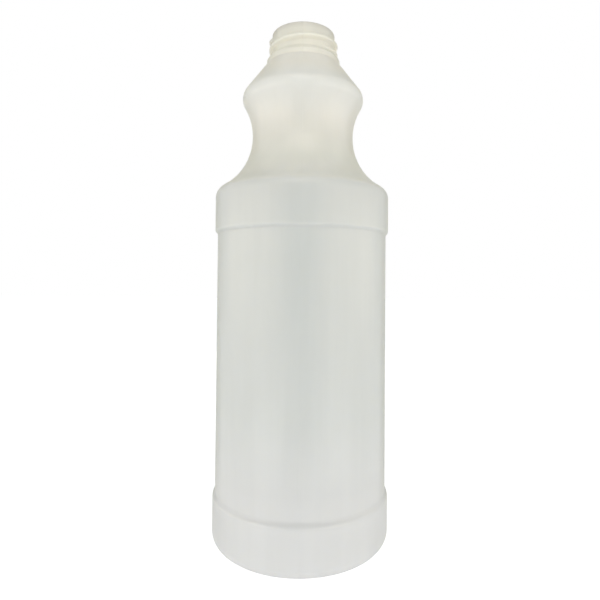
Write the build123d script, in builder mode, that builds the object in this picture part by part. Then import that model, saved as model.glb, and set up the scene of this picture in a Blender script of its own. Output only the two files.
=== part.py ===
from build123d import *
import os
from math import acos, atan2, ceil, cos, degrees, pi, radians, sin, sqrt, tan

# A natural HDPE trigger-spray bottle, extrusion blow-moulded in one piece: a base band and an upper
# band with a recessed label panel between them, a rounded shoulder, a grip waist, a bulge, a cone,
# a collar and a threaded neck that is open at the top.
# Millimetres and degrees. The origin is the middle of the base, +Z is the bottle's axis and the
# mould's parting plane is the YZ plane.
# Heights are stacked: each one is measured from the top of the one before it.
# The round of a bend that bulges outwards is given on the inside of the wall, so that the outside is
# that round plus the wall. The grip bends the other way, and its round is given on the outside.

# walls
wall = 1.0
neck_wall = 2.05

# base: a standing ring round a raised panel, with the weld where the mould pinched the tube shut
band_radius = 39.5
base_inner_round = 4.2
standing_width = 3.4
push_up = 4.2
push_up_angle = 40.0
pinch_length = 40.0
pinch_width = 1.4
pinch_height = 0.6
pinch_flank_angle = 60.0

# bands and label panel
base_band_height = 20.4
lower_step_height = 2.4
panel_recess = 1.1
panel_height = 113.7
upper_step_height = 1.5
upper_band_height = 15.0

# shoulder, grip, bulge and cone
shoulder_inner_round = 4.2
grip_round = 28.4
waist_radius = 23.15
bulge_swell = 4.7
bulge_inner_round = 4.5
cone_angle = 36.8

# neck finish: 33 mm, one right-hand start, six turns to the inch
thread_diameter = 31.9
thread_depth = 1.45
thread_pitch = 25.4 / 6
thread_root_width = 2.5
thread_crest_width = 1.0
thread_root_sink = 0.4
thread_foot_drop = 0.4
thread_turns = 1.85
thread_start_angle = -102.0
thread_fade_angle = 32.0
thread_points_per_turn = 24
collar_width = 2.4
collar_draft = 0.25
collar_height = 2.3
collar_slope_height = 2.3
neck_height = 10.45
rim_bevel_share = 0.3
overrun = 1.0

# how far a bend's round may stand off the straight chords that it is drawn in
bend_sagitta = 0.24

right_angle = 90.0
full_turn = 360.0

# derived radii
neck_radius = thread_diameter / 2 - thread_depth
bore_radius = neck_radius - neck_wall
rim_bevel = neck_wall * rim_bevel_share
collar_top_radius = neck_radius + collar_width
collar_foot_radius = collar_top_radius + collar_draft
bulge_radius = waist_radius + bulge_swell
panel_radius = band_radius - panel_recess
base_round = base_inner_round + wall
shoulder_round = shoulder_inner_round + wall
bulge_round = bulge_inner_round + wall
foot_outer_radius = band_radius - base_round
foot_inner_radius = foot_outer_radius - standing_width
base_panel_radius = foot_inner_radius - push_up / tan(radians(push_up_angle))

# derived heights
panel_foot = base_band_height + lower_step_height
panel_top = panel_foot + panel_height
upper_band_foot = panel_top + upper_step_height
shoulder_foot = upper_band_foot + upper_band_height

# Centres of the bends, as (radius from the axis, height). Those above the bands are circles that touch
# one another: each is placed so that its distance to the one before it is the sum of the two rounds.
base_centre = (foot_outer_radius, base_round)
shoulder_centre = (band_radius - shoulder_round, shoulder_foot)
grip_reach = waist_radius + grip_round - shoulder_centre[0]
grip_rise = sqrt((shoulder_round + grip_round) ** 2 - grip_reach**2)
grip_centre = (waist_radius + grip_round, shoulder_foot + grip_rise)
bulge_reach = grip_centre[0] - (bulge_radius - bulge_round)
bulge_rise = sqrt((grip_round + bulge_round) ** 2 - bulge_reach**2)
bulge_centre = (bulge_radius - bulge_round, grip_centre[1] + bulge_rise)


def angle_to(start, end):
    """Angle of the line from one centre to another, from the outward direction."""
    return degrees(atan2(end[1] - start[1], end[0] - start[0]))


def point_on(centre, radius, angle):
    """Point of a circle in the half section, at an angle from the outward direction."""
    return (centre[0] + radius * cos(radians(angle)), centre[1] + radius * sin(radians(angle)))


def bend_points(centre, outer_round, turn_in, start, end):
    """Corners of the chords that a bend is drawn in, on the outside or turned in from it."""
    chord_angle = degrees(2 * acos(1 - bend_sagitta / outer_round))
    chords = ceil(abs(end - start) / chord_angle)
    step = (end - start) / chords
    return [point_on(centre, outer_round + turn_in, start + step * index) for index in range(chords + 1)]


def cone_point(inset, radius):
    """Point where the cone, set in by the inset, comes to a radius."""
    foot = point_on(bulge_centre, bulge_round - inset, cone_angle)
    slant = (foot[0] - radius) / sin(radians(cone_angle))
    return (radius, foot[1] + slant * cos(radians(cone_angle)))


# where the bends meet, as angles about their centres
shoulder_end = angle_to(shoulder_centre, grip_centre)
grip_start = shoulder_end + 2 * right_angle
bulge_start = angle_to(bulge_centre, grip_centre)
grip_end = bulge_start + 2 * right_angle

# heights of the neck finish
collar_foot = cone_point(0, collar_foot_radius)[1]
collar_top = collar_foot + collar_height
neck_foot = collar_top + collar_slope_height
rim_height = neck_foot + neck_height


def wall_points(inset, end_radius):
    """Half section of the wall, set in by an inset, from the axis at the base to a radius on the cone."""
    shift = inset * tan(radians(push_up_angle / 2))
    return [
        (0, push_up + inset),
        (base_panel_radius + shift, push_up + inset),
        (foot_inner_radius + shift, inset),
        *bend_points(base_centre, base_round, -inset, -right_angle, 0),
        (band_radius - inset, base_band_height),
        (panel_radius - inset, panel_foot),
        (panel_radius - inset, panel_top),
        (band_radius - inset, upper_band_foot),
        *bend_points(shoulder_centre, shoulder_round, -inset, 0, shoulder_end)[:-1],
        *bend_points(grip_centre, grip_round, inset, grip_start, grip_end),
        *bend_points(bulge_centre, bulge_round, -inset, bulge_start, cone_angle)[1:],
        cone_point(inset, end_radius),
    ]


# The thread's flanks run on below the neck's surface, and its ends dive until the crest is under it.
# The lowest turn starts on the collar's slope.
thread_start = neck_foot - thread_foot_drop
thread_flank_slope = (thread_root_width - thread_crest_width) / thread_depth
thread_sunk_width = thread_root_width + thread_flank_slope * thread_root_sink
thread_dive = thread_depth + thread_root_sink
thread_sweep_angle = full_turn * thread_turns
thread_steps = round(thread_points_per_turn * thread_turns)


def thread_point(step):
    """Point of the thread's root line, which dives into the neck at both ends."""
    turned = thread_sweep_angle * step / thread_steps
    left = min(turned, thread_sweep_angle - turned)
    dive = (1 + cos(pi * min(left / thread_fade_angle, 1))) / 2
    radius = neck_radius - dive * thread_dive
    angle = radians(thread_start_angle + turned)
    height = thread_start + thread_pitch * turned / full_turn
    return (radius * cos(angle), radius * sin(angle), height)


with BuildPart() as bottle:
    # the outside, as a solid of revolution
    with BuildSketch(Plane.XZ):
        with BuildLine():
            Polyline(
                *wall_points(0, collar_foot_radius),
                (collar_top_radius, collar_top),
                (neck_radius, neck_foot),
                (neck_radius, rim_height - rim_bevel),
                (neck_radius - rim_bevel, rim_height),
                (0, rim_height),
                close=True,
            )
        make_face()
    revolve(axis=Axis.Z)

    # the thread: one helical ridge that rises out of the collar and sinks back into the neck
    with BuildLine() as thread_path:
        Spline([thread_point(step) for step in range(thread_steps + 1)])
    with BuildLine() as thread_axis:
        Line((0, 0, thread_start), (0, 0, thread_start + thread_pitch * thread_turns))
    root = thread_path.line @ 0
    outward = Vector(root.X, root.Y, 0).normalized()
    with BuildSketch(Plane(root, x_dir=outward, z_dir=Vector(0, 0, 1).cross(outward))):
        with BuildLine():
            Polyline(
                (-thread_root_sink, -thread_sunk_width / 2),
                (thread_depth, -thread_crest_width / 2),
                (thread_depth, thread_crest_width / 2),
                (-thread_root_sink, thread_sunk_width / 2),
                close=True,
            )
        make_face()
    sweep(path=thread_path.line, binormal=thread_axis.line.edge())

    # the pinch weld: a low ridge across the base panel, in the parting plane
    with BuildSketch(Plane.XY.offset(push_up)):
        Rectangle(pinch_width, pinch_length)
    extrude(amount=-pinch_height, taper=right_angle - pinch_flank_angle)

    # the hollow, with a straight bore through the neck
    with BuildSketch(Plane.XZ):
        with BuildLine():
            Polyline(
                *wall_points(wall, bore_radius),
                (bore_radius, rim_height - rim_bevel),
                (bore_radius + rim_bevel + overrun, rim_height + overrun),
                (0, rim_height + overrun),
                close=True,
            )
        make_face()
    revolve(axis=Axis.Z, mode=Mode.SUBTRACT)

bottle.part.label = "bottle"

os.makedirs("parts", exist_ok=True)
export_step(bottle.part, "parts/bottle.step")
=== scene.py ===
"""Looks of a natural HDPE trigger-spray bottle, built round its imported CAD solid.

The bottle is one blown shell: a lathed wall with an outside and an inside, a helical thread that rises
out of the collar and sinks back into the neck, and the weld under the base. Fields are millimetres and
degrees, meshes are metres. +Z is the bottle's axis, the origin is the middle of its base, and the
mould's parting plane is the YZ plane.
"""

import logging
import math
from dataclasses import dataclass
from enum import Enum
from typing import Any

import bpy
from mathutils import Euler, Matrix, Vector


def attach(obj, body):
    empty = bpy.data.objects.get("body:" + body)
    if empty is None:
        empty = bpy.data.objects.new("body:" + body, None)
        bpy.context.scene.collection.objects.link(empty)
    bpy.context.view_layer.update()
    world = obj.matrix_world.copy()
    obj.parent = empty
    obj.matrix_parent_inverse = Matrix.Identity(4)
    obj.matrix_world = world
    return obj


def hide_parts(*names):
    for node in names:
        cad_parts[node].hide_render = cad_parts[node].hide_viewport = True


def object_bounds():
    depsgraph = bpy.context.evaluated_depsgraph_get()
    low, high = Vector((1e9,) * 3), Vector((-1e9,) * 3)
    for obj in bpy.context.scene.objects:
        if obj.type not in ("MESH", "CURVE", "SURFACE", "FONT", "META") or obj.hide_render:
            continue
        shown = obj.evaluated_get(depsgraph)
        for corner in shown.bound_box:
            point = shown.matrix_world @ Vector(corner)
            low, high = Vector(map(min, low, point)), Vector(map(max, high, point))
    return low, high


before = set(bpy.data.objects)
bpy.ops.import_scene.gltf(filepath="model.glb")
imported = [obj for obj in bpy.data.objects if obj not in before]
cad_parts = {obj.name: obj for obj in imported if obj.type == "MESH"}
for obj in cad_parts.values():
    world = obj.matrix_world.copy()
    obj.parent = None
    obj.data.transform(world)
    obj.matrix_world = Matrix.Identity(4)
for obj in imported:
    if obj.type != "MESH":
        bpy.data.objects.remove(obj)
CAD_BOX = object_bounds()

MM = 0.001
INCH = 25.4
LOG = logging.getLogger("bottle_scene")
IMAGE_SIZE = 600.0
RIGHT_ANGLE = 90.0
HALF_TURN = 180.0
FULL_TURN = 360.0

Colour = tuple[float, float, float]
Place = tuple[float, float, float]
Point = tuple[float, float]
Socket = bpy.types.NodeSocket

WHITE: Colour = (1.0, 1.0, 1.0)


class Body(Enum):
    """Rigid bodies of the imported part."""

    BOTTLE = "root"


class Node(Enum):
    """CAD nodes that the dressed pieces stand for."""

    BOTTLE = "bottle"


class Slot(Enum):
    """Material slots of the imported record."""

    NATURAL_HDPE = "natural_hdpe"


class Side(Enum):
    """Sides of the bottle, as the sign of a lamp's bearing."""

    LEFT = -1.0
    RIGHT = 1.0


def opaque(colour: Colour) -> tuple[float, float, float, float]:
    """Return a colour with full alpha."""
    return (*colour, 1.0)


def sheet(name: str, corners: list[Place]) -> bpy.types.Mesh:
    """Make a mesh of one flat face.

    Args:
        name: The mesh's name.
        corners: Its corners in order, in millimetres.

    Returns:
        The mesh, in metres.
    """
    mesh = bpy.data.meshes.new(name)
    mesh.from_pydata([Vector(corner) * MM for corner in corners], [], [range(len(corners))])
    return mesh


class Graph:
    """Adds and links the nodes of one node tree."""

    def __init__(self, tree: bpy.types.NodeTree) -> None:
        """Take over a tree.

        Args:
            tree: The shader or geometry tree to fill.
        """
        self.tree = tree

    def feed(self, socket: Socket, value: Any) -> None:
        """Link a socket to another one, or set its own value.

        Args:
            socket: The input to feed.
            value: An output socket, or a plain value.
        """
        if isinstance(value, Socket):
            self.tree.links.new(value, socket)
        else:
            socket.default_value = value

    def node(self, kind: str, inputs: dict[Any, Any] | None = None, **settings: Any) -> bpy.types.Node:
        """Add a node.

        Args:
            kind: The node's type name.
            inputs: Values or sockets by input name or place.
            **settings: Attributes of the node, set before its inputs.

        Returns:
            The new node.
        """
        made = self.tree.nodes.new(kind)
        for name, value in settings.items():
            setattr(made, name, value)
        for key, value in (inputs or {}).items():
            self.feed(made.inputs[key], value)
        return made

    def math(self, operation: str, *operands: Any) -> Socket:
        """Add a Math node.

        Args:
            operation: The node's operation.
            *operands: Its operands, as numbers or sockets.

        Returns:
            The result's socket.
        """
        return self.node("ShaderNodeMath", dict(enumerate(operands)), operation=operation).outputs[0]

    def step(self, value: Any, low: Any, high: Any, at_low: Any = 0.0, at_high: Any = 1.0) -> Socket:
        """Add a smooth step between two values.

        Args:
            value: What is mapped.
            low: Where the step starts.
            high: Where it ends.
            at_low: The result up to the start.
            at_high: The result past the end.

        Returns:
            The result's socket.
        """
        inputs = {"Value": value, "From Min": low, "From Max": high, "To Min": at_low, "To Max": at_high}
        made = self.node("ShaderNodeMapRange", inputs, interpolation_type="SMOOTHSTEP")
        return made.outputs["Result"]


@dataclass(frozen=True)
class NaturalHdpe:
    """Undyed HDPE: milky and satin, with a tint for each height that holds painted light and shade as well as
    its own tone, faint die lines and a parting line.
    """

    # Tints by height: partly the plastic's own tone, warmer where the neck's wall is thicker, and partly
    # painted light and shade, set zone by zone.
    tints_and_painted_shading: tuple[tuple[float, Colour], ...] = (
        # Painted shade: darker at the very bottom edge.
        (0.0, (0.80, 0.795, 0.795)),
        # Painted light: the base band lighter, as if lit from below.
        (1.5, (0.87, 0.865, 0.865)),
        (6.0, (0.865, 0.86, 0.855)),
        (12.0, (0.845, 0.84, 0.835)),
        (19.6, (0.83, 0.825, 0.82)),
        # Painted shade: a dark band in the lower step's recess.
        (21.0, (0.755, 0.75, 0.745)),
        (22.0, (0.755, 0.75, 0.745)),
        (23.4, (0.805, 0.80, 0.795)),
        (32.0, (0.755, 0.755, 0.75)),
        (60.0, (0.70, 0.715, 0.70)),
        (130.0, (0.70, 0.715, 0.695)),
        (153.0, (0.71, 0.72, 0.70)),
        # Painted light: the grip above the shoulder crease is lighter and warmer.
        (155.4, (0.745, 0.75, 0.725)),
        (157.0, (0.90, 0.88, 0.80)),
        (162.0, (0.89, 0.865, 0.785)),
        (168.0, (0.845, 0.83, 0.745)),
        (178.0, (0.845, 0.815, 0.735)),
        (186.0, (0.875, 0.84, 0.765)),
        (199.0, (0.87, 0.865, 0.82)),
        (209.0, (0.91, 0.86, 0.765)),
        (214.5, (0.90, 0.85, 0.765)),
        (216.5, (0.83, 0.805, 0.73)),
        (224.5, (0.82, 0.80, 0.73)),
        # Painted shade: the neck darker towards the rim, with a dark painted rim edge at the top.
        (226.5, (0.75, 0.735, 0.68)),
        (228.0, (0.735, 0.72, 0.665)),
        (228.6, (0.63, 0.61, 0.565)),
    )
    top: float = 231.0
    streak_width: float = 5.0
    streak_length: float = 70.0
    streak_share: float = 0.02
    noise_low: float = 0.3
    noise_high: float = 0.7
    grain_detail: float = 3.0
    roughness: float = 0.36
    roughness_spread: float = 0.05
    skin_width: float = 0.9
    skin_height: float = 0.012
    die_line_width: float = 2.2
    die_line_length: float = 160.0
    die_line_height: float = 0.02
    die_line_detail: float = 1.0
    parting_width: float = 0.4
    parting_height: float = 0.015
    parting_end_height: float = 0.06
    parting_foot: tuple[float, float] = (2.0, 8.0)
    parting_neck: tuple[float, float] = (205.0, 215.0)
    subsurface_weight: float = 0.6
    subsurface_scale: float = 3.0
    subsurface_radius: Colour = (1.0, 0.95, 0.82)
    refractive_index: float = 1.54
    gloss_level: float = 0.5
    edge_gloss_level: float = 0.04
    edge_start: float = 0.5
    edge_end: float = 0.9

    def make(self) -> bpy.types.Material:
        """Build the material.

        Returns:
            The material, on Object coordinates.
        """
        material = bpy.data.materials.new("natural_hdpe")
        material.use_nodes = True
        graph = Graph(material.node_tree)
        shader = material.node_tree.nodes["Principled BSDF"]
        place = graph.node("ShaderNodeTexCoord").outputs["Object"]
        shader.inputs["IOR"].default_value = self.refractive_index
        shader.inputs["Subsurface Weight"].default_value = self.subsurface_weight
        shader.inputs["Subsurface Scale"].default_value = self.subsurface_scale * MM
        shader.inputs["Subsurface Radius"].default_value = self.subsurface_radius
        graph.feed(shader.inputs["Base Color"], self._colour(graph, place))
        graph.feed(shader.inputs["Roughness"], self._roughness(graph, place))
        graph.feed(shader.inputs["Specular IOR Level"], self._gloss(graph))
        graph.feed(shader.inputs["Normal"], self._relief(graph, place))
        return material

    def _noise(self, graph: Graph, place: Socket, width: float, length: float, detail: float) -> Socket:
        """Add noise whose grains have a width across the bottle and a length along it.

        Args:
            graph: The material's graph.
            place: Object coordinates.
            width: Grain across the bottle.
            length: Grain along its axis.
            detail: Octaves of finer grain.

        Returns:
            The noise, from 0 to 1.
        """
        scale = (1.0 / (width * MM), 1.0 / (width * MM), 1.0 / (length * MM))
        stretched = graph.node("ShaderNodeMapping", {"Vector": place, "Scale": scale})
        inputs = {"Vector": stretched.outputs["Vector"], "Scale": 1.0, "Detail": detail}
        return graph.node("ShaderNodeTexNoise", inputs).outputs["Fac"]

    def _colour(self, graph: Graph, place: Socket) -> Socket:
        """Add the colour: one tint per height, which holds painted light and shade as well as the plastic's
        own tone, with faint streaks of uneven wall.

        Args:
            graph: The material's graph.
            place: Object coordinates.

        Returns:
            The colour's socket.
        """
        height = graph.node("ShaderNodeSeparateXYZ", {0: place}).outputs["Z"]
        share = graph.math("DIVIDE", height, self.top * MM)
        # The ramp paints light and shade by height, along with the plastic's own tone.
        ramp = graph.node("ShaderNodeValToRGB", {"Fac": share})
        elements = ramp.color_ramp.elements
        while len(elements) < len(self.tints_and_painted_shading):
            elements.new(1.0)
        for element, (at, colour) in zip(elements, self.tints_and_painted_shading):
            element.position = at / self.top
            element.color = opaque(colour)
        streaks = self._noise(graph, place, self.streak_width, self.streak_length, self.grain_detail)
        level = graph.step(streaks, self.noise_low, self.noise_high, 1.0 - self.streak_share, 1.0)
        inputs = {0: ramp.outputs["Color"], "Scale": level}
        return graph.node("ShaderNodeVectorMath", inputs, operation="SCALE").outputs["Vector"]

    def _roughness(self, graph: Graph, place: Socket) -> Socket:
        """Add the satin's uneven roughness.

        Args:
            graph: The material's graph.
            place: Object coordinates.

        Returns:
            The roughness socket.
        """
        noise = self._noise(graph, place, self.streak_width, self.streak_width, self.grain_detail)
        low, high = self.roughness - self.roughness_spread, self.roughness + self.roughness_spread
        return graph.step(noise, self.noise_low, self.noise_high, low, high)

    def _gloss(self, graph: Graph) -> Socket:
        """Add the satin's gloss, lowered at a slant so that the edges stay apart from the white surround.

        Args:
            graph: The material's graph.

        Returns:
            The gloss level's socket.
        """
        slant = graph.node("ShaderNodeLayerWeight").outputs["Facing"]
        return graph.step(slant, self.edge_start, self.edge_end, self.gloss_level, self.edge_gloss_level)

    def _relief(self, graph: Graph, place: Socket) -> Socket:
        """Add the relief: moulded skin, die lines along the axis and the parting line at front and back.

        Args:
            graph: The material's graph.
            place: Object coordinates.

        Returns:
            The bent normal's socket.
        """
        ways = graph.node("ShaderNodeSeparateXYZ", {0: place}).outputs
        skin = self._noise(graph, place, self.skin_width, self.skin_width, self.grain_detail)
        skin = graph.math("MULTIPLY", skin, self.skin_height * MM)
        lines = self._noise(graph, place, self.die_line_width, self.die_line_length, self.die_line_detail)
        lines = graph.math("MULTIPLY", lines, self.die_line_height * MM)
        height = graph.math("ADD", graph.math("ADD", skin, lines), self._parting(graph, ways["X"], ways["Z"]))
        inputs = {"Strength": 1.0, "Distance": 1.0, "Height": height}
        return graph.node("ShaderNodeBump", inputs).outputs["Normal"]

    def _parting(self, graph: Graph, across: Socket, up: Socket) -> Socket:
        """Add the parting line, which stands out more at the foot and the neck.

        Args:
            graph: The material's graph.
            across: Place across the parting plane.
            up: Place along the axis.

        Returns:
            The line's height.
        """
        foot = graph.step(up, *(at * MM for at in self.parting_foot), 1.0, 0.0)
        neck = graph.step(up, *(at * MM for at in self.parting_neck), 0.0, 1.0)
        ends = graph.math("MAXIMUM", foot, neck)
        gain = self.parting_end_height - self.parting_height
        crest = graph.math("MULTIPLY_ADD", ends, gain * MM, self.parting_height * MM)
        ridge = graph.step(graph.math("ABSOLUTE", across), 0.0, self.parting_width * MM, 1.0, 0.0)
        return graph.math("MULTIPLY", ridge, crest)


@dataclass(frozen=True)
class Corner:
    """A corner of the half section, as (radius, height), with the round that eases it."""

    at: Point
    ease: float = 0.0


@dataclass
class Section:
    """Half section of the blown wall, as sizes in millimetres and degrees."""

    band_radius: float
    rim_height: float
    wall: float = 1.0
    neck_wall: float = 2.05
    base_inner_round: float = 4.2
    standing_width: float = 3.4
    push_up: float = 4.2
    push_up_angle: float = 40.0
    push_up_ease: float = 2.5
    foot_ease: float = 1.2
    base_band_height: float = 20.4
    lower_step_height: float = 2.4
    panel_recess: float = 1.1
    panel_height: float = 113.7
    upper_step_height: float = 1.5
    upper_band_height: float = 15.0
    step_steep_share: float = 0.65
    lower_step_ease: float = 2.4
    upper_step_ease: float = 1.4
    shoulder_inner_round: float = 4.2
    grip_round: float = 28.4
    waist_radius: float = 23.15
    bulge_swell: float = 4.7
    bulge_inner_round: float = 4.5
    cone_angle: float = 36.8
    neck_radius: float = 14.5
    collar_width: float = 2.4
    collar_draft: float = 0.25
    collar_height: float = 2.3
    collar_slope_height: float = 2.3
    collar_ease: float = 0.8
    neck_height: float = 10.45
    rim_ease: float = 0.9
    arc_step: float = 6.0
    ease_step: float = 12.0
    ease_least_steps: int = 2

    def __post_init__(self) -> None:
        """Place the bends: circles that touch one another, stacked from the bands up."""
        self.panel_foot = self.base_band_height + self.lower_step_height
        self.panel_top = self.panel_foot + self.panel_height
        self.upper_band_foot = self.panel_top + self.upper_step_height
        self.shoulder_foot = self.upper_band_foot + self.upper_band_height
        self.neck_foot = self.rim_height - self.neck_height
        self.collar_top = self.neck_foot - self.collar_slope_height
        self.collar_foot = self.collar_top - self.collar_height
        self.base_round = self.base_inner_round + self.wall
        shoulder_round = self.shoulder_inner_round + self.wall
        bulge_round = self.bulge_inner_round + self.wall
        bulge_radius = self.waist_radius + self.bulge_swell
        self.shoulder = (self.band_radius - shoulder_round, self.shoulder_foot)
        grip_radius = self.waist_radius + self.grip_round
        rise = math.sqrt((shoulder_round + self.grip_round) ** 2 - (grip_radius - self.shoulder[0]) ** 2)
        self.grip = (grip_radius, self.shoulder_foot + rise)
        reach = grip_radius - (bulge_radius - bulge_round)
        rise = math.sqrt((bulge_round + self.grip_round) ** 2 - reach**2)
        self.bulge = (bulge_radius - bulge_round, self.grip[1] + rise)

    def arc(self, centre: Point, radius: float, start: float, end: float) -> list[Corner]:
        """Follow a bend.

        Args:
            centre: Its centre.
            radius: Its radius.
            start: Angle of its first point, from the outward direction.
            end: Angle of its last point.

        Returns:
            Points close together along it.
        """
        count = math.ceil(abs(end - start) / self.arc_step)
        angles = [math.radians(start + (end - start) * index / count) for index in range(count + 1)]
        return [Corner((centre[0] + radius * math.cos(a), centre[1] + radius * math.sin(a))) for a in angles]

    def bends(self, inset: float) -> list[Corner]:
        """Follow shoulder, grip and bulge upwards.

        Args:
            inset: How far inside the outer face the line runs.

        Returns:
            The points of the three bends.
        """
        slope_out = math.degrees(math.atan2(self.grip[1] - self.shoulder[1], self.grip[0] - self.shoulder[0]))
        slope_in = math.degrees(math.atan2(self.grip[1] - self.bulge[1], self.grip[0] - self.bulge[0]))
        shoulder = self.arc(self.shoulder, self.shoulder_inner_round + self.wall - inset, 0.0, slope_out)
        grip = self.arc(self.grip, self.grip_round + inset, slope_out + HALF_TURN, slope_in + HALF_TURN)
        bulge = self.arc(self.bulge, self.bulge_inner_round + self.wall - inset, slope_in, self.cone_angle)
        return shoulder[:-1] + grip + bulge[1:]

    def step(self, start: Point, end: Point, ease: float) -> list[Corner]:
        """Draw a step as a soft S-bend that is steepest half way up.

        Args:
            start: Its lower end.
            end: Its upper end.
            ease: The round of its two corners.

        Returns:
            Both corners.
        """
        rise = (end[1] - start[1]) * (1.0 - self.step_steep_share) / 2
        return [Corner((start[0], start[1] + rise), ease), Corner((end[0], end[1] - rise), ease)]

    def body(self, inset: float) -> list[Corner]:
        """Follow the wall from the axis under the base to the top of the bulge.

        Args:
            inset: How far inside the outer face the line runs.

        Returns:
            The corners, in order.
        """
        outer = self.band_radius - inset
        panel = outer - self.panel_recess
        foot_outer = self.band_radius - self.base_round
        foot_inner = foot_outer - self.standing_width
        slope = math.radians(self.push_up_angle)
        shift = inset * math.tan(slope / 2)
        crown = foot_inner - self.push_up / math.tan(slope)
        return [
            Corner((0.0, self.push_up + inset)),
            Corner((crown + shift, self.push_up + inset), self.push_up_ease),
            Corner((foot_inner + shift, inset), self.foot_ease),
            Corner((outer, inset), self.base_round - inset),
            *self.step((outer, self.base_band_height), (panel, self.panel_foot), self.lower_step_ease),
            *self.step((panel, self.panel_top), (outer, self.upper_band_foot), self.upper_step_ease),
            *self.bends(inset),
        ]

    def corners(self) -> list[Corner]:
        """Follow the outside up to the rim and the inside down again.

        Returns:
            The corners of the whole wall, from the axis to the axis.
        """
        collar_top_radius = self.neck_radius + self.collar_width
        bore = self.neck_radius - self.neck_wall
        inside = self.body(self.wall)
        top = inside[-1].at
        bore_foot = top[1] + (top[0] - bore) / math.tan(math.radians(self.cone_angle))
        return [
            *self.body(0.0),
            Corner((collar_top_radius + self.collar_draft, self.collar_foot), self.collar_ease),
            Corner((collar_top_radius, self.collar_top), self.collar_ease),
            Corner((self.neck_radius, self.neck_foot), self.collar_ease),
            Corner((self.neck_radius, self.rim_height), self.rim_ease),
            Corner((bore, self.rim_height), self.rim_ease),
            Corner((bore, bore_foot), self.collar_ease),
            *reversed(inside),
        ]

    def outline(self) -> list[Point]:
        """Ease every corner.

        Returns:
            The points of the finished outline.
        """
        corners = self.corners()
        points = [corners[0].at]
        for before, here, after in zip(corners, corners[1:], corners[2:]):
            points += self._eased(Vector(before.at), here, Vector(after.at))
        return points + [corners[-1].at]

    def _eased(self, before: Vector, corner: Corner, after: Vector) -> list[Point]:
        """Turn one corner into an arc that touches both of its sides.

        Args:
            before: The corner before it.
            corner: The corner.
            after: The corner after it.

        Returns:
            The arc's points, or the corner itself where it has no round.
        """
        if not corner.ease:
            return [corner.at]
        here = Vector(corner.at)
        back, ahead = (before - here).normalized(), (after - here).normalized()
        half = back.angle(ahead) / 2
        centre = here + (back + ahead).normalized() * corner.ease / math.sin(half)
        first = here + back * corner.ease / math.tan(half) - centre
        turn = first.angle_signed(here + ahead * corner.ease / math.tan(half) - centre)
        count = max(self.ease_least_steps, math.ceil(abs(math.degrees(turn)) / self.ease_step))
        turns = [-turn * index / count for index in range(count + 1)]
        return [tuple(centre + Matrix.Rotation(angle, 2) @ first) for angle in turns]


@dataclass
class Thread:
    """One right-hand helical ridge on the neck, as sizes in millimetres, degrees and turns."""

    depth: float = 1.45
    pitch: float = INCH / 6
    foot_drop: float = 0.4
    root_width: float = 4.1
    crest_width: float = 0.5
    root_sink: float = 1.1
    turns: float = 1.85
    start_angle: float = -102.0
    rise_angle: float = 88.0
    fade_angle: float = 20.0
    row_height: float = 0.14


@dataclass
class Weld:
    """The pinch weld across the base panel, as sizes in millimetres."""

    length: float = 40.0
    width: float = 1.4
    height: float = 0.6


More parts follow.
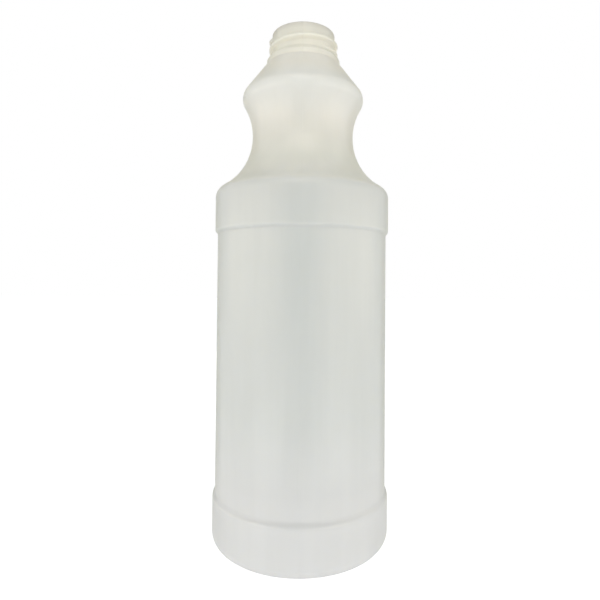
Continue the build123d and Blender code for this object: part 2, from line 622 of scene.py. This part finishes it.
class LatheTree:
    """Geometry tree that turns a half section about +Z, raises the thread and adds the weld.

    Its inputs are in metres and turns, its merge distance is in millimetres.
    """

    ZONE = "thread_zone"
    SIZES = (
        "Neck Radius", "Thread Depth", "Thread Pitch", "Thread Foot", "Root Width", "Crest Width",
        "Root Sink", "Start Turn", "Turns", "Rise Turns", "Fade Turns",
        "Weld Length", "Weld Width", "Weld Height", "Weld Level",
    )
    WELD_SIDES = 16
    MERGE_DISTANCE = 0.001
    HALF = 0.5

    def __init__(self) -> None:
        """Build the tree with its named inputs."""
        self.tree = bpy.data.node_groups.new("bottle_lathe", "GeometryNodeTree")
        face = self.tree.interface
        face.new_socket("Section", in_out="INPUT", socket_type="NodeSocketGeometry")
        face.new_socket("Segments", in_out="INPUT", socket_type="NodeSocketInt")
        for name in self.SIZES:
            face.new_socket(name, in_out="INPUT", socket_type="NodeSocketFloat")
        face.new_socket("Finish", in_out="INPUT", socket_type="NodeSocketMaterial")
        face.new_socket("Shell", in_out="OUTPUT", socket_type="NodeSocketGeometry")
        self.graph = Graph(self.tree)
        self.given = self.graph.node("NodeGroupInput").outputs
        self._finish(self._lathe(), self._weld())

    def identifiers(self) -> dict[str, str]:
        """Return the input identifiers by name."""
        items = self.tree.interface.items_tree
        return {item.name: item.identifier for item in items if item.in_out == "INPUT"}

    def _lathe(self) -> Socket:
        """Turn the section: a grid with one row for each of its points.

        Returns:
            The closed wall's geometry.
        """
        graph, given = self.graph, self.given
        rows = graph.node("GeometryNodeAttributeDomainSize", {0: given["Section"]}).outputs["Point Count"]
        columns = graph.math("ADD", given["Segments"], 1.0)
        grid = graph.node("GeometryNodeMeshGrid", {"Vertices X": rows, "Vertices Y": columns})
        index = graph.node("GeometryNodeInputIndex").outputs[0]
        row = graph.math("FLOOR", graph.math("DIVIDE", graph.math("ADD", index, self.HALF), columns))
        column = graph.math("SUBTRACT", index, graph.math("MULTIPLY", row, columns))
        turn = graph.math("DIVIDE", graph.math("MULTIPLY", column, -1.0), given["Segments"])
        spot = graph.node("GeometryNodeInputPosition").outputs[0]
        spot = self._sampled(row, spot, "FLOAT_VECTOR")
        zone = graph.node("GeometryNodeInputNamedAttribute", {"Name": self.ZONE}, data_type="FLOAT")
        zone = self._sampled(row, zone.outputs["Attribute"], "FLOAT")
        parts = graph.node("ShaderNodeSeparateXYZ", {0: spot}).outputs
        raised = graph.math("MULTIPLY", zone, self._thread_radius(turn, parts["Z"]))
        radius = graph.math("SMOOTH_MAX", parts["X"], raised, given["Root Sink"])
        angle = graph.math("MULTIPLY", turn, math.tau)
        x = graph.math("MULTIPLY", radius, graph.math("COSINE", angle))
        y = graph.math("MULTIPLY", radius, graph.math("SINE", angle))
        place = graph.node("ShaderNodeCombineXYZ", {"X": x, "Y": y, "Z": parts["Z"]}).outputs[0]
        placed = graph.node("GeometryNodeSetPosition", {"Geometry": grid.outputs["Mesh"], "Position": place})
        inputs = {"Geometry": placed.outputs[0], "Distance": self.MERGE_DISTANCE * MM}
        return graph.node("GeometryNodeMergeByDistance", inputs).outputs[0]

    def _sampled(self, row: Socket, value: Socket, data_type: str) -> Socket:
        """Read a value of the section at the point that a row stands for.

        Args:
            row: The point's index.
            value: The field to read.
            data_type: The field's type.

        Returns:
            The value's socket.
        """
        inputs = {"Geometry": self.given["Section"], "Value": value, "Index": row}
        return self.graph.node("GeometryNodeSampleIndex", inputs, data_type=data_type).outputs["Value"]

    def _thread_radius(self, turn: Socket, height: Socket) -> Socket:
        """Work out the thread's radius: its root is sunk, so that it blends into neck and collar.

        Args:
            turn: Place round the neck, in turns from +X.
            height: Place along the axis.

        Returns:
            The radius socket.
        """
        graph, given = self.graph, self.given
        around = graph.math("FRACT", graph.math("SUBTRACT", turn, given["Start Turn"]))
        rise = graph.math("SUBTRACT", height, given["Thread Foot"])
        rise = graph.math("DIVIDE", rise, given["Thread Pitch"])
        lap = graph.math("ROUND", graph.math("SUBTRACT", rise, around))
        lap = graph.math("MAXIMUM", lap, 0.0)
        turned = graph.math("ADD", around, lap)
        left = graph.math("SUBTRACT", given["Turns"], turned)
        run_in = graph.step(turned, 0.0, given["Rise Turns"])
        run_out = graph.step(left, 0.0, given["Fade Turns"])
        fade = graph.math("MULTIPLY", run_in, run_out)
        off = graph.math("ABSOLUTE", graph.math("SUBTRACT", rise, turned))
        off = graph.math("MULTIPLY", off, given["Thread Pitch"])
        crest = graph.math("MULTIPLY", given["Crest Width"], self.HALF)
        root = graph.math("MULTIPLY", given["Root Width"], self.HALF)
        ridge = graph.step(off, crest, root, 1.0, 0.0)
        depth = graph.math("ADD", given["Thread Depth"], given["Root Sink"])
        raised = graph.math("MULTIPLY", graph.math("MULTIPLY", ridge, fade), depth)
        return graph.math("ADD", graph.math("SUBTRACT", given["Neck Radius"], given["Root Sink"]), raised)

    def _weld(self) -> Socket:
        """Draw the weld: a low round ridge along Y.

        Returns:
            The weld's geometry.
        """
        graph, given = self.graph, self.given
        end = graph.math("MULTIPLY", given["Weld Length"], self.HALF)
        start = graph.math("MULTIPLY", end, -1.0)
        line = graph.node(
            "GeometryNodeCurvePrimitiveLine",
            {
                "Start": graph.node("ShaderNodeCombineXYZ", {"Y": start}).outputs[0],
                "End": graph.node("ShaderNodeCombineXYZ", {"Y": end}).outputs[0],
            },
        )
        ring = graph.node(
            "GeometryNodeCurvePrimitiveCircle",
            {"Resolution": self.WELD_SIDES, "Radius": graph.math("MULTIPLY", given["Weld Width"], self.HALF)},
        )
        swept = graph.node(
            "GeometryNodeCurveToMesh",
            {"Curve": line.outputs[0], "Profile Curve": ring.outputs[0], "Fill Caps": True},
        )
        flatten = graph.math("DIVIDE", given["Weld Height"], given["Weld Width"])
        flatten = graph.math("DIVIDE", flatten, self.HALF)
        placed = graph.node(
            "GeometryNodeTransform",
            {
                "Geometry": swept.outputs[0],
                "Translation": graph.node("ShaderNodeCombineXYZ", {"Z": given["Weld Level"]}).outputs[0],
                "Scale": graph.node("ShaderNodeCombineXYZ", {"X": 1.0, "Y": 1.0, "Z": flatten}).outputs[0],
            },
        )
        return placed.outputs[0]

    def _finish(self, wall: Socket, weld: Socket) -> None:
        """Join the pieces, smooth them and dress them.

        Args:
            wall: The lathed wall.
            weld: The pinch weld.
        """
        graph = self.graph
        joined = graph.node("GeometryNodeJoinGeometry")
        for piece in (weld, wall):
            self.tree.links.new(piece, joined.inputs[0])
        smooth = graph.node("GeometryNodeSetShadeSmooth", {"Geometry": joined.outputs[0]})
        real = graph.node("GeometryNodeRealizeInstances", {"Geometry": smooth.outputs[0]})
        inputs = {"Geometry": real.outputs[0], "Material": self.given["Finish"]}
        dressed = graph.node("GeometryNodeSetMaterial", inputs)
        graph.node("NodeGroupOutput", {"Shell": dressed.outputs[0]})


@dataclass
class Bottle:
    """The blown bottle: its section, thread, weld and finish."""

    section: Section
    thread: Thread
    weld: Weld
    finish: NaturalHdpe
    segments: int = 192

    def build(self) -> bpy.types.Object:
        """Make the shell and hang it on the frame.

        Returns:
            The finished piece.
        """
        source = bpy.data.objects.new("bottle_section", self._section_mesh())
        bpy.context.scene.collection.objects.link(source)
        tree = LatheTree()
        modifier = source.modifiers.new("lathe", "NODES")
        modifier.node_group = tree.tree
        identifiers = tree.identifiers()
        for name, value in self._inputs().items():
            modifier[identifiers[name]] = value
        bpy.context.view_layer.update()
        evaluated = source.evaluated_get(bpy.context.evaluated_depsgraph_get())
        mesh = bpy.data.meshes.new_from_object(evaluated)
        bpy.data.objects.remove(source)
        mesh.name = "bottle_shell"
        shell = bpy.data.objects.new("bottle_shell", mesh)
        bpy.context.scene.collection.objects.link(shell)
        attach(shell, Body.BOTTLE.value)
        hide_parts(Node.BOTTLE.value)
        return shell

    def _inputs(self) -> dict[str, Any]:
        """Gather the lathe's inputs.

        Returns:
            The inputs by name, lengths in metres.
        """
        thread, weld, section = self.thread, self.weld, self.section
        return {
            "Segments": self.segments,
            "Neck Radius": section.neck_radius * MM,
            "Thread Depth": thread.depth * MM,
            "Thread Pitch": thread.pitch * MM,
            "Thread Foot": (section.neck_foot - thread.foot_drop) * MM,
            "Root Width": thread.root_width * MM,
            "Crest Width": thread.crest_width * MM,
            "Root Sink": thread.root_sink * MM,
            "Start Turn": thread.start_angle / FULL_TURN,
            "Turns": thread.turns,
            "Rise Turns": thread.rise_angle / FULL_TURN,
            "Fade Turns": thread.fade_angle / FULL_TURN,
            "Weld Length": weld.length * MM,
            "Weld Width": weld.width * MM,
            "Weld Height": weld.height * MM,
            "Weld Level": section.push_up * MM,
            "Finish": self.finish.make(),
        }

    def _section_mesh(self) -> bpy.types.Mesh:
        """Lay the section out as one chain of edges, with close rows where the thread runs.

        Returns:
            The chain, with the thread's zone marked on its points.
        """
        section, low = self.section, self.section.collar_top
        high = section.rim_height - 2 * section.rim_ease
        outer = section.neck_radius - section.rim_ease
        outline = section.outline()
        points = [outline[0]]
        for before, after in zip(outline, outline[1:]):
            threaded = min(before[0], after[0]) > outer and low <= min(before[1], after[1])
            count = math.ceil(math.dist(before, after) / self.thread.row_height) if threaded else 1
            points += [tuple(Vector(before).lerp(Vector(after), (i + 1) / count)) for i in range(count)]
        mesh = bpy.data.meshes.new("bottle_section")
        edges = [(index, index + 1) for index in range(len(points) - 1)]
        mesh.from_pydata([(r * MM, 0.0, z * MM) for r, z in points], edges, [])
        zone = mesh.attributes.new(LatheTree.ZONE, "FLOAT", "POINT")
        for item, (radius, height) in zip(zone.data, points):
            item.value = float(radius > outer and low <= height <= high)
        return mesh


@dataclass(frozen=True)
class StudioFloor:
    """A plain pale floor under a white surround."""

    half_width: float = 4000.0
    shade: float = 0.5
    glow: float = 0.5
    seen_glow: float = 0.86
    surround: float = 1.0
    fill_front: float = 0.38
    fill_back: float = 0.5
    fill_top: float = 0.75
    fill_colour: Colour = (0.86, 0.98, 1.03)

    def seen(self, graph: Graph) -> Socket:
        """Tell the rays that look at the surround from those that light the object.

        Args:
            graph: The material's or world's graph.

        Returns:
            1 for camera, glossy and transmission rays, or 0.
        """
        path = graph.node("ShaderNodeLightPath").outputs
        seen = graph.math("MAXIMUM", path["Is Camera Ray"], path["Is Glossy Ray"])
        return graph.math("MAXIMUM", seen, path["Is Transmission Ray"])

    def build(self) -> bpy.types.Object:
        """Lay the floor and set the world.

        Returns:
            The floor.
        """
        half = self.half_width
        corners = [(-half, -half, 0.0), (half, -half, 0.0), (half, half, 0.0), (-half, half, 0.0)]
        mesh = sheet("studio_floor", corners)
        material = bpy.data.materials.new("studio_floor")
        material.use_nodes = True
        material.node_tree.nodes.clear()
        graph = Graph(material.node_tree)
        lit = graph.node("ShaderNodeBsdfDiffuse", {"Color": opaque((self.shade, self.shade, self.shade))})
        level = graph.step(self.seen(graph), 0.0, 1.0, self.glow, self.seen_glow)
        glow = graph.node("ShaderNodeEmission", {"Strength": level})
        both = graph.node("ShaderNodeAddShader", {0: lit.outputs[0], 1: glow.outputs[0]})
        graph.node("ShaderNodeOutputMaterial", {"Surface": both.outputs[0]})
        mesh.materials.append(material)
        floor = bpy.data.objects.new("studio_floor", mesh)
        bpy.context.scene.collection.objects.link(floor)
        self._world()
        return floor

    def _world(self) -> None:
        """Surround the scene with white that lights the object more softly than it shows."""
        world = bpy.data.worlds.new("studio")
        world.use_nodes = True
        bpy.context.scene.world = world
        graph = Graph(world.node_tree)
        direction = graph.node("ShaderNodeTexCoord").outputs["Generated"]
        ways = graph.node("ShaderNodeSeparateXYZ", {0: direction}).outputs
        fill = graph.step(ways["Y"], -1.0, 1.0, self.fill_front, self.fill_back)
        fill = graph.math("MULTIPLY", fill, graph.step(ways["Z"], 0.0, 1.0, 1.0, self.fill_top))
        seen = self.seen(graph)
        strength = graph.step(seen, 0.0, 1.0, fill, self.surround)
        inputs = {"Factor": seen, "A": opaque(self.fill_colour), "B": opaque(WHITE)}
        tint = graph.node("ShaderNodeMix", inputs, data_type="RGBA")
        background = world.node_tree.nodes["Background"]
        graph.feed(background.inputs["Color"], tint.outputs["Result"])
        graph.feed(background.inputs["Strength"], strength)


@dataclass(frozen=True)
class Softbox:
    """A kind of soft lamp, placed by its bearing from the bottle's front."""

    bearing: float
    distance: float
    height: float
    width: float
    length: float
    power: float
    colour: Colour = WHITE

    def build(self, name: str, target: Vector, side: Side = Side.RIGHT) -> bpy.types.Object:
        """Hang a lamp and turn it to the bottle.

        Args:
            name: The lamp's name.
            target: The point that it faces.
            side: The side of the bottle that the bearing is taken to.

        Returns:
            The lamp.
        """
        data = bpy.data.lights.new(name, "AREA")
        data.shape = "RECTANGLE"
        data.size, data.size_y = self.width * MM, self.length * MM
        data.energy = self.power
        data.color = self.colour
        lamp = bpy.data.objects.new(name, data)
        bearing = math.radians(self.bearing) * side.value
        across, deep = self.distance * math.sin(bearing), -self.distance * math.cos(bearing)
        lamp.location = Vector((across, deep, self.height)) * MM
        lamp.rotation_euler = (target - lamp.location).to_track_quat("-Z", "Y").to_euler()
        lamp.visible_camera = False
        bpy.context.scene.collection.objects.link(lamp)
        return lamp


@dataclass(frozen=True)
class Lighting:
    """The studio's lamps: a pair at the sides, a pair of low bounces, one above and one behind."""

    side: Softbox = Softbox(
        bearing=66.0, distance=620.0, height=160.0, width=1000.0, length=200.0, power=1.26,
        colour=(1.0, 0.9, 0.73),
    )
    bounce: Softbox = Softbox(
        bearing=38.0, distance=170.0, height=15.0, width=120.0, length=30.0, power=0.026,
    )
    top: Softbox = Softbox(
        bearing=0.0, distance=250.0, height=420.0, width=300.0, length=200.0, power=0.36,
        colour=(1.0, 0.95, 0.84),
    )
    back: Softbox = Softbox(
        bearing=HALF_TURN, distance=620.0, height=160.0, width=700.0, length=300.0, power=0.9,
        colour=(1.0, 0.93, 0.8),
    )

    def build(self, target: Vector) -> list[bpy.types.Object]:
        """Hang every lamp.

        Args:
            target: The point that they face.

        Returns:
            The lamps.
        """
        return [
            self.side.build("left_softbox", target, Side.LEFT),
            self.side.build("right_softbox", target),
            self.bounce.build("left_bounce", target, Side.LEFT),
            self.bounce.build("right_bounce", target),
            self.top.build("top_softbox", target),
            self.back.build("back_softbox", target),
        ]


@dataclass(frozen=True)
class Cards:
    """Dull cards that only the gloss sees.

    Those at the sides and the foot keep the pale edges apart from the white surround. The front one
    shades the middle of the label panel.
    """

    side_distance: float = 62.0
    side_near: float = 8.0
    side_far: float = 130.0
    height: float = 340.0
    side_colour: Colour = (0.32, 0.3, 0.15)
    mat_half_width: float = 90.0
    mat_level: float = 0.3
    mat_colour: Colour = (0.3, 0.3, 0.3)
    front_distance: float = 420.0
    front_half_width: float = 150.0
    front_colour: Colour = (0.03, 0.3, 0.45)

    def build(self) -> list[bpy.types.Object]:
        """Set up a card on each side, a mat under the bottle and a card behind the camera.

        Returns:
            The cards.
        """
        side, near, far, mat = self.side_distance, self.side_near, self.side_far, self.mat_half_width
        front, half = -self.front_distance, self.front_half_width
        foot = [(-mat, -mat, self.mat_level), (mat, -mat, self.mat_level)]
        foot += [(mat, mat, self.mat_level), (-mat, mat, self.mat_level)]
        return [
            self._card("left_card", self._upright((-side, near), (-side, far)), self.side_colour),
            self._card("right_card", self._upright((side, near), (side, far)), self.side_colour),
            self._card("foot_mat", foot, self.mat_colour),
            self._card("front_card", self._upright((-half, front), (half, front)), self.front_colour),
        ]

    def _upright(self, start: Point, end: Point) -> list[Place]:
        """Return the corners of a card that stands on a line of the floor."""
        return [(*start, 0.0), (*end, 0.0), (*end, self.height), (*start, self.height)]

    def _card(self, name: str, corners: list[Place], colour: Colour) -> bpy.types.Object:
        """Make one card.

        Args:
            name: Its name.
            corners: Its corners, in millimetres.
            colour: Its colour.

        Returns:
            The card, out of sight of everything but glossy rays.
        """
        mesh = sheet(name, corners)
        material = bpy.data.materials.new(name)
        material.use_nodes = True
        material.node_tree.nodes["Principled BSDF"].inputs["Base Color"].default_value = opaque(colour)
        mesh.materials.append(material)
        card = bpy.data.objects.new(name, mesh)
        card.visible_camera = card.visible_diffuse = False
        card.visible_shadow = card.visible_transmission = False
        bpy.context.scene.collection.objects.link(card)
        return card


@dataclass(frozen=True)
class PhotoCamera:
    """The camera that took the photograph, as fitted to the bottle's outline."""

    place: Place = (4.04, -234.0, 113.9)
    focal_pixels: float = 504.8
    centre_pixels: Point = (310.4, 273.1)
    pitch: float = 1.35
    roll: float = 0.436
    sensor: float = 36.0

    def build(self) -> bpy.types.Object:
        """Set the camera up.

        Returns:
            The scene's camera.
        """
        data = bpy.data.cameras.new("photo_camera")
        data.sensor_width = self.sensor
        data.lens = self.focal_pixels * self.sensor / IMAGE_SIZE
        data.shift_x = 0.5 - self.centre_pixels[0] / IMAGE_SIZE
        data.shift_y = self.centre_pixels[1] / IMAGE_SIZE - 0.5
        data.clip_start = MM
        camera = bpy.data.objects.new("photo_camera", data)
        camera.location = Vector(self.place) * MM
        turn = Euler((math.radians(RIGHT_ANGLE + self.pitch), 0.0, 0.0)).to_matrix()
        turn = turn @ Matrix.Rotation(math.radians(self.roll), 3, "Z")
        camera.rotation_euler = turn.to_euler()
        bpy.context.scene.collection.objects.link(camera)
        bpy.context.scene.camera = camera
        return camera


def main() -> None:
    """Build the bottle and its studio."""
    logging.basicConfig(level=logging.INFO, format="%(name)s: %(message)s")
    low, high = (corner / MM for corner in CAD_BOX)
    section = Section(band_radius=(high.x - low.x) / 2, rim_height=high.z)
    shell = Bottle(section, Thread(), Weld(), NaturalHdpe()).build()
    LOG.info("%s: %d faces", shell.name, len(shell.data.polygons))
    floor = StudioFloor().build()
    LOG.info("%s laid", floor.name)
    middle = Vector((0.0, 0.0, high.z / 2)) * MM
    for lamp in Lighting().build(middle):
        LOG.info("%s hung", lamp.name)
    for card in Cards().build():
        LOG.info("%s stood up", card.name)
    LOG.info("%s placed", PhotoCamera().build().name)
    bpy.context.scene.view_settings.view_transform = "Standard"


if __name__ == "__main__":
    main()
